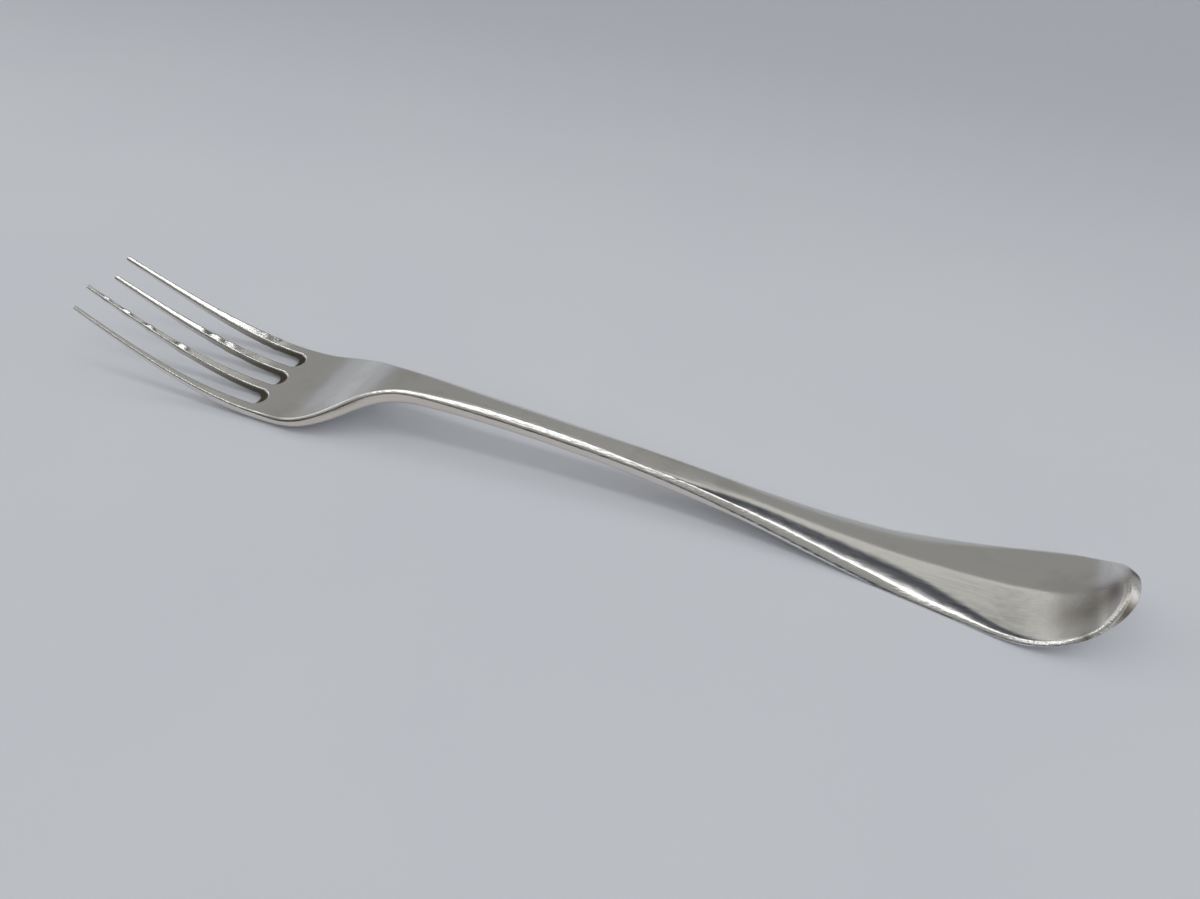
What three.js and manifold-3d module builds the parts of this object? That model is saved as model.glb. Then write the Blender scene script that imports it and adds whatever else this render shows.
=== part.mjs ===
// Four-tined silver table fork, forged from one bar: dished head, bevelled stem, turned-up ridged end.
// Millimetres, +Z up. The fork lies face up on the table, tine tips towards -X, handle end towards +X.
import * as THREE from "three";
import Module from "manifold-3d";

// Lengths of the zones along the table, from the tine tips to the handle end.
const TINE_LENGTH = 40.25;
const HEAD_LENGTH = 15;
const NECK_LENGTH = 22;
const STEM_LENGTH = 64;
const HANDLE_LENGTH = 63.6;

// Tines and the slots between them. The round end of a slot slants back towards the front face. A tine
// stays slim near its tip and widens as its way from tip to root to the power of the swell.
const TINE_COUNT = 4;
const ROOT_PITCH = 6.6;
const TIP_PITCH = 6;
const SLOT_WIDTH = 4.25;
const SLOT_SCOOP = 1.25;
const TIP_WIDTH = 0.9;
const TIP_THICKNESS = 0.75;
const TINE_SWELL = 1.3;
const EDGE_ROUND = 0.4;
const TINE_BACK_ROUND = 0.8;

// Use has worn each tine shorter by its own length, and turned its top to the near side by its own degrees.
const WORN_OFF = [1.9, 0.1, 1.75, 0];
const TURNED = [-3, 8, 21, 23];

// Widths across the fork.
const HEAD_WIDTH = 22.8;
const SHOULDER_WIDTH = 14;
const NECK_WIDTH = 6.8;
const STEM_WIDTH = 5.5;
const FLARE_WIDTH = 11.6;
const REST_WIDTH = 19.35;
const END_WIDTH = 21.9;

// Heights of the front face over the table.
const TIP_RISE = 16.72;
const NECK_RISE = 7.6;
const CREST_RISE = 11.4;
const HANDLE_RISE = 5.8;
const FLARE_RISE = 2.7;
const UPTURN_RISE = 3.8;
const END_RISE = 10.1;

// Metal thickness along the middle line. At the heel and the rest it is also the height of the front
// face, because the back touches the table there.
const ROOT_THICKNESS = 2.2;
const HEEL_THICKNESS = 2.4;
const STEM_THICKNESS = 3.4;
const FLARE_THICKNESS = 2.2;
const REST_THICKNESS = 1.1;
const WIDEST_THICKNESS = 1.3;
const END_THICKNESS = 1;

// Front of the handle: a soft ridge, two facets falling away from it, and round shoulders beside them.
const CROWN = 1.05;
const END_CROWN = 1.15;
const RIDGE_ROUND = 0.8;
const FACET_SLOPE = 0.11;
const SHOULDER_SLOPE = 0.4;
const SHOULDER_ROUND = 3.85;

// The keel under the turned-up end.
const KEEL = 0.8;
const KEEL_HALF_WIDTH = 7.5;

// Front edges: rounded on the head, bevelled on the stem, broadly rounded on the flare, a lip at the end.
const HEAD_EDGE_ROUND = 0.6;
const BEVEL_WIDTH = 0.85;
const BEVEL_DROP = 0.5;
const FLARE_EDGE_WIDTH = 1.2;
const FLARE_EDGE_DROP = 1;
const LIP_ROUND = 0.55;

// Rounding of the back of the head and of the stem.
const HEAD_BACK_WIDTH = 2.2;
const HEAD_BACK_RISE = 1.1;
const BACK_ROUND_WIDTH = 1.8;
const BACK_ROUND_RISE = 1.5;

// Places that are neither zone ends nor tied to them by another size.
const SHOULDER_LEAD = 4;
const SHOULDER_RUN = 9;
const STEEPEST_RUN = 7.5;
const WAIST_RUN = 30;
const FLARE_RUN = 18;
const HEEL_FLAT = 3;
const REST_FLAT = 4;
const REST_TO_END = 21.6;
const UPTURN_TO_END = 7;
const WIDEST_TO_END = 13;
const END_FULLNESS = 2.4;

// Stations: distances from the tine tips.
const ROOT = TINE_LENGTH;
const HEEL_START = ROOT + SLOT_SCOOP + SLOT_WIDTH / 2 + EDGE_ROUND;
const HEEL_STOP = HEEL_START + HEEL_FLAT;
const NECK_START = ROOT + HEAD_LENGTH;
const HEAD_WIDEST = NECK_START - SHOULDER_LEAD;
const STEEPEST = NECK_START + STEEPEST_RUN;
const SHOULDER = NECK_START + SHOULDER_RUN;
const CREST = NECK_START + NECK_LENGTH;
const WAIST = CREST + WAIST_RUN;
const HANDLE_START = CREST + STEM_LENGTH;
const FLARE = HANDLE_START + FLARE_RUN;
const END = HANDLE_START + HANDLE_LENGTH;
const REST_STOP = END - REST_TO_END;
const REST_START = REST_STOP - REST_FLAT;
const WIDEST = END - WIDEST_TO_END;
const UPTURN = END - UPTURN_TO_END;

// Facets: points across the front, across the back, and round each eased edge.
const FRONT_STEPS = 14;
const BACK_STEPS = 8;
const ROUND_STEPS = 3;
const SLOT_STEPS = 28;

const TINE_ROOT_WIDTH = ROOT_PITCH - SLOT_WIDTH;
const ROOT_WIDTH = (TINE_COUNT - 1) * ROOT_PITCH + TINE_ROOT_WIDTH;

const wasm = await Module();
wasm.setup();

// A smooth curve through knots [station, value, slope]. A knot without a slope gets one that
// keeps the curve from overshooting.
function curveThrough(knots) {
  const rise = (i) => (knots[i + 1][1] - knots[i][1]) / (knots[i + 1][0] - knots[i][0]);
  const slopes = knots.map(([, , slope], i) => {
    if (slope !== undefined) {
      return slope;
    }
    if (i === 0 || i === knots.length - 1) {
      return rise(Math.min(i, knots.length - 2));
    }
    const before = rise(i - 1);
    const after = rise(i);
    return before * after > 0 ? (2 * before * after) / (before + after) : 0;
  });
  const span = (at) => {
    const next = knots.findIndex(([station]) => station > at);
    const i = next < 0 ? knots.length - 2 : Math.max(next - 1, 0);
    const length = knots[i + 1][0] - knots[i][0];
    const q = THREE.MathUtils.clamp((at - knots[i][0]) / length, 0, 1);
    return { i, length, q };
  };
  const value = (at) => {
    const { i, length, q } = span(at);
    const fromStart = 1 - 3 * q * q + 2 * q * q * q;
    const startLean = (q - 2 * q * q + q * q * q) * length * slopes[i];
    const endLean = (q * q * q - q * q) * length * slopes[i + 1];
    return knots[i][1] * fromStart + knots[i + 1][1] * (1 - fromStart) + startLean + endLean;
  };
  const slope = (at) => {
    const { i, length, q } = span(at);
    const climb = ((knots[i + 1][1] - knots[i][1]) / length) * 6 * q * (1 - q);
    return climb + slopes[i] * (1 - 4 * q + 3 * q * q) + slopes[i + 1] * (3 * q * q - 2 * q);
  };
  return { value, slope };
}

// Side view: height of the front face, with its steepness in millimetres per millimetre.
const frontLine = curveThrough([
  [0, TIP_RISE, -0.5],
  [HEEL_START, HEEL_THICKNESS, 0],
  [HEEL_STOP, HEEL_THICKNESS, 0],
  [STEEPEST, NECK_RISE, 0.55],
  [CREST, CREST_RISE, 0],
  [HANDLE_START, HANDLE_RISE, -0.14],
  [FLARE, FLARE_RISE, -0.14],
  [REST_START, REST_THICKNESS, 0],
  [REST_STOP, REST_THICKNESS, 0],
  [UPTURN, UPTURN_RISE, 0.5],
  [END, END_RISE, 2],
]);

// Plan view: half width behind the tines, up to the widest place of the handle.
const outline = curveThrough([
  [ROOT, ROOT_WIDTH / 2, 0],
  [HEAD_WIDEST, HEAD_WIDTH / 2, 0],
  [SHOULDER, SHOULDER_WIDTH / 2, -0.54],
  [CREST, NECK_WIDTH / 2, -0.05],
  [WAIST, STEM_WIDTH / 2, 0],
  [FLARE, FLARE_WIDTH / 2, 0.14],
  [REST_STOP, REST_WIDTH / 2, 0.18],
  [WIDEST, END_WIDTH / 2, 0],
]);

const thickness = curveThrough([
  [0, TIP_THICKNESS],
  [ROOT, ROOT_THICKNESS],
  [HEEL_START, HEEL_THICKNESS],
  [HEEL_STOP, HEEL_THICKNESS],
  [CREST, STEM_THICKNESS],
  [WAIST, STEM_THICKNESS],
  [FLARE, FLARE_THICKNESS],
  [REST_START, REST_THICKNESS],
  [REST_STOP, REST_THICKNESS],
  [WIDEST, WIDEST_THICKNESS],
  [END, END_THICKNESS],
]);

// Front of the handle along the fork: height of the ridge, slope of the facets, and the shoulders beside them.
const crown = curveThrough([
  [WAIST, 0],
  [HANDLE_START, 0.2 * CROWN],
  [FLARE, 0.7 * CROWN],
  [REST_STOP, CROWN],
  [END, END_CROWN],
]);
const facetSlope = curveThrough([
  [WAIST, 0],
  [FLARE, FACET_SLOPE],
  [END, 1.25 * FACET_SLOPE],
]);
const shoulderSlope = curveThrough([
  [WAIST, 0],
  [HANDLE_START, SHOULDER_SLOPE],
  [REST_STOP, SHOULDER_SLOPE],
  [WIDEST, SHOULDER_SLOPE / 2],
  [END, SHOULDER_SLOPE / 3],
]);
const shoulderWidth = curveThrough([
  [WAIST, SHOULDER_ROUND / 10],
  [FLARE, SHOULDER_ROUND],
  [REST_START, 0.7 * SHOULDER_ROUND],
  [WIDEST, SHOULDER_ROUND / 6],
  [END, SHOULDER_ROUND / 10],
]);

// Cross-section: rounding of the front and back edges, as widths and depths, and the keel.
const edgeWidth = curveThrough([
  [ROOT, EDGE_ROUND],
  [HEEL_STOP, HEAD_EDGE_ROUND],
  [NECK_START, HEAD_EDGE_ROUND],
  [CREST, BEVEL_WIDTH],
  [HANDLE_START, BEVEL_WIDTH],
  [FLARE, FLARE_EDGE_WIDTH],
  [REST_STOP, LIP_ROUND],
  [END, LIP_ROUND],
]);
const edgeDrop = curveThrough([
  [ROOT, EDGE_ROUND],
  [HEEL_STOP, HEAD_EDGE_ROUND],
  [NECK_START, HEAD_EDGE_ROUND],
  [CREST, BEVEL_DROP],
  [HANDLE_START, BEVEL_DROP],
  [FLARE, FLARE_EDGE_DROP],
  [REST_STOP, LIP_ROUND],
  [END, LIP_ROUND],
]);
const backWidth = curveThrough([
  [ROOT, TINE_BACK_ROUND],
  [HEEL_START, HEAD_BACK_WIDTH],
  [CREST, BACK_ROUND_WIDTH],
  [WAIST, BACK_ROUND_WIDTH],
  [FLARE, 2 * BACK_ROUND_WIDTH],
  [REST_STOP, 2 * BACK_ROUND_WIDTH],
  [WIDEST, EDGE_ROUND],
]);
const backRise = curveThrough([
  [ROOT, TINE_BACK_ROUND],
  [HEEL_START, HEAD_BACK_RISE],
  [CREST, BACK_ROUND_RISE],
  [WAIST, BACK_ROUND_RISE],
  [REST_START, EDGE_ROUND],
  [END, EDGE_ROUND],
]);
const keel = curveThrough([
  [REST_STOP, 0],
  [UPTURN, KEEL / 2],
  [END, KEEL],
]);

// The rounded handle end is a fuller-than-elliptic curve from the widest place to the tip.
function halfWidth(at) {
  if (at <= WIDEST) {
    return outline.value(at);
  }
  const q = Math.min((at - WIDEST) / WIDEST_TO_END, 1);
  return (END_WIDTH / 2) * (1 - q ** END_FULLNESS) ** (1 / END_FULLNESS);
}

// How far an eased edge of the given radius has dropped, at a distance inside the outline.
function easedDrop(inside, radius) {
  const past = Math.max(radius - inside, 0);
  return radius - Math.sqrt(radius * radius - past * past);
}

// A point of the fork: at a station of the front line, across the fork, and out of its front face.
function place(station, across, out) {
  const angle = Math.atan(frontLine.slope(station));
  const x = station - out * Math.sin(angle);
  const z = frontLine.value(station) + out * Math.cos(angle);
  return new THREE.Vector3(x, across, z);
}

// The most metal that fits between the front face and the table.
function clearance(at) {
  return frontLine.value(at) * Math.hypot(1, frontLine.slope(at));
}

// Angles of a quarter turn in equal steps, both ends included.
function quarterTurn() {
  return Array.from({ length: ROUND_STEPS + 1 }, (_, k) => (k / ROUND_STEPS) * (Math.PI / 2));
}

// Evenly spaced values from start to stop, both ends included.
function steps(start, stop, count) {
  return Array.from({ length: count + 1 }, (_, k) => start + ((stop - start) * k) / count);
}

// Stations of a run of zones: each stretch between neighbouring bounds is split into its own count.
function stationsBetween(bounds, counts) {
  const runs = counts.map((count, i) => steps(bounds[i], bounds[i + 1], count).slice(i === 0 ? 0 : 1));
  return runs.flat();
}

// Height of the front face at a distance from the middle line: ridge, facet, then shoulder.
function faceHeight(at, away, faceHalf) {
  const facet = facetSlope.value(at);
  const shoulder = Math.min(shoulderWidth.value(at), 0.75 * faceHalf);
  const past = Math.max(away - faceHalf + shoulder, 0) / shoulder;
  const fall = away < RIDGE_ROUND ? (away * away) / (2 * RIDGE_ROUND) : away - RIDGE_ROUND / 2;
  const bend = (shoulderSlope.value(at) - facet) * shoulder;
  return crown.value(at) - facet * fall - (bend * past * past) / 2;
}

// Depth of the back at a distance from the middle line, never below the table.
function backDepth(at, away) {
  const dome = Math.max(1 - (away / KEEL_HALF_WIDTH) ** 2, 0);
  return Math.min(thickness.value(at) + keel.value(at) * dome, clearance(at));
}

// The closed cross-section behind the tines, as a ring of points running across the front and back again.
function bodyRing(at) {
  const half = halfWidth(at);
  const nose = easedDrop(END - at, LIP_ROUND);
  const front = Math.min(edgeWidth.value(at), half / 2);
  const back = Math.min(backWidth.value(at), half / 2);
  const faceHalf = half - front;
  const faceEdge = faceHeight(at, faceHalf, faceHalf) - nose;
  const wall = faceEdge + backDepth(at, half) - nose / 2;
  const drop = Math.min(edgeDrop.value(at), 0.7 * wall);
  const rise = Math.min(backRise.value(at), 0.8 * (wall - drop));
  const side = [];
  for (const turn of quarterTurn()) {
    side.push([half - front * (1 - Math.sin(turn)), faceEdge - drop * (1 - Math.cos(turn))]);
  }
  for (const turn of quarterTurn()) {
    const across = half - back * (1 - Math.cos(turn));
    side.push([across, nose / 2 - backDepth(at, across) + rise * (1 - Math.sin(turn))]);
  }
  const acrossFront = steps(-faceHalf, faceHalf, FRONT_STEPS).slice(1, -1);
  const acrossBack = steps(half - back, back - half, BACK_STEPS).slice(1, -1);
  const ring = [
    ...acrossFront.map((across) => [across, faceHeight(at, Math.abs(across), faceHalf) - nose]),
    ...side,
    ...acrossBack.map((across) => [across, nose / 2 - backDepth(at, across)]),
    ...side.map(([across, out]) => [-across, out]).reverse(),
  ];
  return ring.map(([across, out]) => place(at, across, out));
}

// One tine's cross-section: a rectangle with rounded edges, shrinking to a blunt rounded tip and turned
// the more the nearer it is to the tip.
function tineRing(at, tine) {
  const tip = WORN_OFF[tine];
  const way = (at - tip) / (ROOT - tip);
  const tipRound = TIP_WIDTH / 2;
  const shrink = 1 - easedDrop(at - tip, tipRound) / tipRound;
  const lane = tine - (TINE_COUNT - 1) / 2;
  const middle = lane * THREE.MathUtils.lerp(ROOT_PITCH, TIP_PITCH, (1 - at / ROOT) ** 2);
  const half = (THREE.MathUtils.lerp(TIP_WIDTH, TINE_ROOT_WIDTH, way ** TINE_SWELL) / 2) * shrink;
  const fullDepth = thickness.value(at);
  const depth = fullDepth * shrink;
  const top = -(fullDepth - depth) / 2;
  const front = Math.min(EDGE_ROUND, 0.7 * half, 0.3 * depth);
  const back = Math.min(TINE_BACK_ROUND, 0.7 * half, 0.5 * depth);
  const left = THREE.MathUtils.smoothstep(ROOT - at, 0, ROOT / 2);
  const lean = Math.tan(THREE.MathUtils.degToRad(TURNED[tine])) * left;
  const side = [];
  for (const turn of quarterTurn()) {
    side.push([half - front * (1 - Math.sin(turn)), top - front * (1 - Math.cos(turn))]);
  }
  for (const turn of quarterTurn()) {
    side.push([half - back * (1 - Math.cos(turn)), top - depth + back * (1 - Math.sin(turn))]);
  }
  const ring = [...side, ...side.map(([across, out]) => [-across, out]).reverse()];
  return ring.map(([across, out]) => place(at, middle + across, out + lean * across));
}

// Rings of equal point count joined into one closed body, each end closed by a fan. The rings run
// clockwise as seen from the last one.
function loft(rings) {
  const count = rings[0].length;
  const points = rings.flat();
  const triangles = [];
  for (let r = 0; r + 1 < rings.length; r += 1) {
    for (let i = 0; i < count; i += 1) {
      const j = (i + 1) % count;
      const [a, b, c, d] = [r * count + i, r * count + j, (r + 1) * count + j, (r + 1) * count + i];
      triangles.push(a, c, b, a, d, c);
    }
  }
  const close = (first, ring, reversed) => {
    const centre = ring.reduce((sum, point) => sum.add(point), new THREE.Vector3()).divideScalar(count);
    const hub = points.push(centre) - 1;
    for (let i = 0; i < count; i += 1) {
      const j = (i + 1) % count;
      triangles.push(hub, first + (reversed ? j : i), first + (reversed ? i : j));
    }
  };
  close(0, rings[0], false);
  close((rings.length - 1) * count, rings[rings.length - 1], true);
  const geometry = new THREE.BufferGeometry().setFromPoints(points);
  geometry.setIndex(triangles);
  return geometry;
}

function toSolid(geometry) {
  const vertProperties = new Float32Array(geometry.getAttribute("position").array);
  const triVerts = new Uint32Array(geometry.getIndex().array);
  return new wasm.Manifold(new wasm.Mesh({ numProp: 3, vertProperties, triVerts }));
}

function toGeometry(solid) {
  const mesh = solid.getMesh();
  const geometry = new THREE.BufferGeometry();
  geometry.setAttribute("position", new THREE.BufferAttribute(mesh.vertProperties, 3));
  geometry.setIndex(new THREE.BufferAttribute(mesh.triVerts, 1));
  return geometry;
}

// Rounding of a slot's edge, from its wall to the open: distances outside the wall, and heights over the
// face. The last step goes on past the face.
function slotLip(round) {
  const lip = quarterTurn().map((turn) => [round * (1 - Math.cos(turn)), -round * (1 - Math.sin(turn))]);
  const [[beforeRim, beforeTop], [rim, top]] = lip.slice(-2);
  return [...lip.slice(0, -1), [4 * rim - 3 * beforeRim, 4 * top - 3 * beforeTop]];
}

// The slanting round end of one slot: a spool that leaves rounded edges where it meets the front and the
// back. Its flats, not its corners, lie on the slot's width.
function slotEnd(lane) {
  const cornerReach = 1 / Math.cos(Math.PI / SLOT_STEPS);
  const frontLip = slotLip(EDGE_ROUND);
  const backLip = slotLip(TINE_BACK_ROUND).map(([outside, out]) => [outside, -ROOT_THICKNESS - out]);
  const rings = [...backLip.reverse(), ...frontLip].map(([outside, out]) =>
    Array.from({ length: SLOT_STEPS }, (_, k) => {
      const turn = ((k + 0.5) / SLOT_STEPS) * 2 * Math.PI;
      const reach = (SLOT_WIDTH / 2 + outside) * cornerReach;
      const slant = Math.sin(turn) > 0 ? SLOT_SCOOP * (1 + out / ROOT_THICKNESS) : 0;
      const station = ROOT + slant + reach * Math.sin(turn);
      return place(station, lane * ROOT_PITCH + reach * Math.cos(turn), out);
    }),
  );
  return toSolid(loft(rings));
}

function buildHead() {
  const bounds = [ROOT, HEEL_START, HEEL_STOP, NECK_START];
  let plate = toSolid(loft(stationsBetween(bounds, [4, 1, 6]).map(bodyRing)));
  for (let slot = 0; slot < TINE_COUNT - 1; slot += 1) {
    plate = plate.subtract(slotEnd(slot + 1 - TINE_COUNT / 2));
  }
  return toGeometry(plate);
}

function buildTine(tine) {
  const tipRound = TIP_WIDTH / 2;
  const blunt = quarterTurn().slice(1, -1).map((turn) => tipRound * (1 - Math.cos(turn)));
  const fromTip = [...blunt, ...steps(tipRound, ROOT - WORN_OFF[tine], 13)];
  return loft(fromTip.map((along) => tineRing(WORN_OFF[tine] + along, tine)));
}

function buildHandle() {
  const bounds = [HANDLE_START, FLARE, REST_START, REST_STOP, WIDEST];
  const straight = stationsBetween(bounds, [4, 5, 1, 5]);
  const turns = steps(0, (84 / 180) * Math.PI, 9).slice(1);
  const rounded = turns.map((turn) => WIDEST + WIDEST_TO_END * Math.sin(turn) ** (2 / END_FULLNESS));
  return loft([...straight, ...rounded].map(bodyRing));
}

const fork = new THREE.Group();
fork.name = "silver_fork";

function addPiece(name, geometry) {
  const silver = new THREE.MeshStandardMaterial({ color: "#cbc8c1", roughness: 0.2, metalness: 1 });
  silver.name = "worn polished silver";
  const flat = geometry.toNonIndexed();
  flat.computeVertexNormals();
  const mesh = new THREE.Mesh(flat, silver);
  mesh.name = name;
  fork.add(mesh);
}

for (let tine = 0; tine < TINE_COUNT; tine += 1) {
  addPiece(`tine_${tine + 1}`, buildTine(tine));
}
addPiece("head", buildHead());
addPiece("neck", loft(steps(NECK_START, CREST, 14).map(bodyRing)));
addPiece("stem", loft(stationsBetween([CREST, WAIST, HANDLE_START], [6, 5]).map(bodyRing)));
addPiece("handle", buildHandle());

// The origin is on the table under the middle of the fork's length.
const middle = new THREE.Box3().setFromObject(fork).getCenter(new THREE.Vector3());
for (const piece of fork.children) {
  piece.geometry.translate(-middle.x, -middle.y, 0);
}

export default fork;
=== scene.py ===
"""Looks of a worn four-tined silver table fork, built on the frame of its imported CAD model.

Sizes are in millimetres up to the last step, where points go into Blender's metres. A station is the
distance along the table from the tine tips. Across is the distance from the middle line, positive on
the far side of the photo, and out is the height over the front line of the side view.
"""

import logging
import math
from collections.abc import Mapping
from dataclasses import dataclass, field, replace
from enum import Enum
from typing import NamedTuple

import bpy
import numpy as np
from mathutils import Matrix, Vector

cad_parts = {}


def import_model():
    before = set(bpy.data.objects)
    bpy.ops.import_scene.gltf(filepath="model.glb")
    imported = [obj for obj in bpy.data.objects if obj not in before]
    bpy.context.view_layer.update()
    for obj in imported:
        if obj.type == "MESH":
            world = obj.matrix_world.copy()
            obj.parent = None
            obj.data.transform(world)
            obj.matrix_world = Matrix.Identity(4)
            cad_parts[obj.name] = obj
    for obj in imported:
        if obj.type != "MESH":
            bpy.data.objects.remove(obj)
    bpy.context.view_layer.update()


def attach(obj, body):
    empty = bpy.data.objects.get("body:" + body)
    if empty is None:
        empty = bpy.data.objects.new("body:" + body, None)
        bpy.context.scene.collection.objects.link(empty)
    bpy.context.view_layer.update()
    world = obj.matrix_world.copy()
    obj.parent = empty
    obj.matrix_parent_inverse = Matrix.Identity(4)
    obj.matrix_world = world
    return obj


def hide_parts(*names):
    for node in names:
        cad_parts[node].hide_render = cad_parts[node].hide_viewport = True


LOG = logging.getLogger("silver_fork")
METRES = 0.001
BODY = "root"
# Sockets of Blender's mix node: the share of the second, then both colours or numbers and the result.
MIX_SHARE = 0
COLOUR_A, COLOUR_B, COLOUR_OUT = 6, 7, 2
NUMBER_A, NUMBER_B, NUMBER_OUT = 2, 3, 0
# A size or share at each of several named stations, in their order along the fork.
Values = tuple[tuple[str, float], ...]


class Zone(Enum):
    """The zones of the forging, named as the CAD nodes that they stand for."""

    TINE_1 = "tine_1"
    TINE_2 = "tine_2"
    TINE_3 = "tine_3"
    TINE_4 = "tine_4"
    HEAD = "head"
    NECK = "neck"
    STEM = "stem"
    HANDLE = "handle"


TINE_ZONES = (Zone.TINE_1, Zone.TINE_2, Zone.TINE_3, Zone.TINE_4)


class Layer(Enum):
    """What use has left on the surface, and the shade painted on it, named as the point attributes that the
    finish reads.
    """

    WORN = "worn_edge"
    STAINED_AND_SHADED = "tarnish_and_shade_mark"
    GRIMY_AND_SHADED = "slot_grime_and_shade"
    TANNED = "side_tan"


class Softness(Enum):
    """Spread of a curve's softening along the fork."""

    CRISP = 1.0
    PLAIN = 1.2
    BROAD = 2.0
    BROADEST = 3.0


def ease(way: np.ndarray) -> np.ndarray:
    """Share of a change that starts and stops gently, from its share of the way."""
    return way * way * (3 - 2 * way)


@dataclass(frozen=True)
class Knot:
    """A place that a curve passes through, with its steepness where that is set."""

    station: float
    value: float
    slope: float | None = None


@dataclass(frozen=True)
class Mark:
    """A soft oval mark, with its reach along and across the fork: tarnish and painted shade on the front
    face, painted shade on the side wall.
    """

    station: float
    across: float
    along: float
    aside: float
    strength: float

    def weight(self, station: np.ndarray, across: np.ndarray) -> np.ndarray:
        """How strong the mark is at each point."""
        away = ((station - self.station) / self.along) ** 2 + ((across - self.across) / self.aside) ** 2
        return self.strength * np.exp(-away)


@dataclass(frozen=True)
class Nick:
    """A short stretch of one tine's top, with its reach along the tine, that use has turned further.

    The tine is counted from 0 at the near side, and the turn is in degrees to that side.
    """

    tine: int
    station: float
    reach: float
    turned: float


class Curve:
    """A curve through knots, softened so that a reflection runs along it without a kink."""

    STEP = 0.1
    MARGIN = 12.0
    # The softening reaches this many of its spreads to each side.
    REACH = 4.0

    def __init__(self, knots: list[Knot], softness: Softness = Softness.PLAIN) -> None:
        """Samples the curve and softens it.

        Args:
            knots: places in order of station.
            softness: spread of the softening along the fork.
        """
        at = np.array([knot.station for knot in knots])
        value = np.array([knot.value for knot in knots])
        slope = self._slopes(knots, np.diff(value) / np.diff(at))
        self.at = np.arange(at[0] - self.MARGIN, at[-1] + self.MARGIN, self.STEP)
        inside = np.clip(self.at, at[0], at[-1])
        i = np.clip(np.searchsorted(at, inside, side="right") - 1, 0, len(at) - 2)
        length = at[i + 1] - at[i]
        way = (inside - at[i]) / length
        blend = ease(way)
        lean = (way - 2 * way**2 + way**3) * slope[i] + (way**3 - way**2) * slope[i + 1]
        rough = value[i] * (1 - blend) + value[i + 1] * blend + lean * length
        rough += np.minimum(self.at - at[0], 0) * slope[0] + np.maximum(self.at - at[-1], 0) * slope[-1]
        reach = int(self.REACH * softness.value / self.STEP)
        kernel = np.exp(-((np.arange(-reach, reach + 1) * self.STEP / softness.value) ** 2) / 2)
        before = rough[0] + np.arange(-reach, 0) * (rough[1] - rough[0])
        after = rough[-1] + np.arange(1, reach + 1) * (rough[-1] - rough[-2])
        padded = np.concatenate([before, rough, after])
        self.height = np.convolve(padded, kernel / kernel.sum(), mode="valid")
        self.steepness = np.gradient(self.height, self.STEP)

    @staticmethod
    def _slopes(knots: list[Knot], rise: np.ndarray) -> np.ndarray:
        """Gives each knot without a slope one that keeps the curve from overshooting.

        Args:
            knots: places in order of station.
            rise: mean steepness between neighbouring knots.

        Returns:
            The steepness at each knot.
        """
        slopes = []
        for i, knot in enumerate(knots):
            before = rise[max(i - 1, 0)]
            after = rise[min(i, len(rise) - 1)]
            mean = 2 * before * after / (before + after) if before * after > 0 else 0.0
            slopes.append(mean if knot.slope is None else knot.slope)
        return np.array(slopes)

    def value(self, station: np.ndarray | float) -> np.ndarray:
        """Height of the curve at each station."""
        return np.interp(station, self.at, self.height)

    def slope(self, station: np.ndarray | float) -> np.ndarray:
        """Steepness of the curve at each station."""
        return np.interp(station, self.at, self.steepness)


def srgb(code: str) -> tuple[float, float, float, float]:
    """Turns an sRGB hex colour into Blender's linear colour.

    Args:
        code: six hex digits.

    Returns:
        Linear red, green and blue with full alpha.
    """
    levels = [int(code[i : i + 2], 16) / 255 for i in (0, 2, 4)]
    linear = [v / 12.92 if v <= 0.04045 else ((v + 0.055) / 1.055) ** 2.4 for v in levels]
    return (*linear, 1.0)


def per_metre(size: float) -> float:
    """Scale of a pattern whose marks are so many millimetres apart."""
    return 1 / (size * METRES)


def add_node(
    tree: bpy.types.NodeTree,
    kind: str,
    settings: Mapping[str, object] | None = None,
    inputs: Mapping[str | int, object] | None = None,
) -> bpy.types.Node:
    """Adds a node with its settings, and fills its inputs with values or links.

    Args:
        tree: node tree that gets the node.
        kind: Blender's type name of the node.
        settings: properties of the node.
        inputs: a value for each named or numbered input, or the socket that feeds it.

    Returns:
        The new node.
    """
    node = tree.nodes.new(kind)
    for name, value in (settings or {}).items():
        setattr(node, name, value)
    for name, value in (inputs or {}).items():
        if isinstance(value, bpy.types.NodeSocket):
            tree.links.new(value, node.inputs[name])
        else:
            node.inputs[name].default_value = value
    return node


@dataclass(frozen=True)
class Speckle:
    """A random pattern: how far apart its marks are, its finer layers and how strong these are."""

    size: float
    layers: float
    strength: float

    def inputs(self, place: bpy.types.NodeSocket) -> dict[str, object]:
        """Inputs of the noise that draws the pattern.

        Args:
            place: where on the surface a point lies.

        Returns:
            A value or socket for each named input.
        """
        return {
            "Vector": place,
            "Scale": per_metre(self.size),
            "Detail": self.layers,
            "Roughness": self.strength,
        }


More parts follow.
